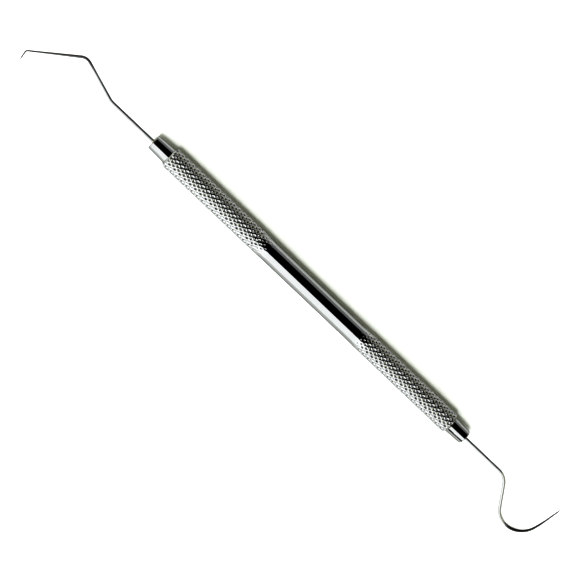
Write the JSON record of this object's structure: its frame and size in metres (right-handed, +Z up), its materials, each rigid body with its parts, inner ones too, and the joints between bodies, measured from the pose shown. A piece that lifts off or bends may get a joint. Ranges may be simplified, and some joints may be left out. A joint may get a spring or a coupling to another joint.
{
  "type": "dental explorer",
  "caption": "Slim double-ended hand instrument: knurled round handle, short right-angled explorer tip at one end and a shepherd's-hook explorer at the other.",
  "frame": {"origin": "on the surface the instrument lies on, under the middle of the box that holds the whole instrument; the handle's axis is 2.4 mm towards +X and 2.9 mm towards +Y of it", "axes": "+X along the handle towards the shepherd's hook, +Z up from the surface it lies on, +Y to the side that the hook's tip points to"},
  "size_m": [0.1756, 0.013, 0.0056],
  "materials": {
    "knurled_steel": "polished stainless steel, bright between the grips, with a diamond knurl on the grips",
    "polished_steel": "mirror-polished stainless steel",
    "spring_steel": "polished hardened steel wire",
    "silver_solder": "bright silver solder, slightly satin"
  },
  "bodies": {
    "root": {"handle_tube": "knurled_steel", "explorer_ferrule": "polished_steel", "hook_ferrule": "polished_steel", "explorer_working_end": "spring_steel", "hook_working_end": "spring_steel", "explorer_solder_fillet": "silver_solder", "hook_solder_fillet": "silver_solder"}
  },
  "joints": []
}
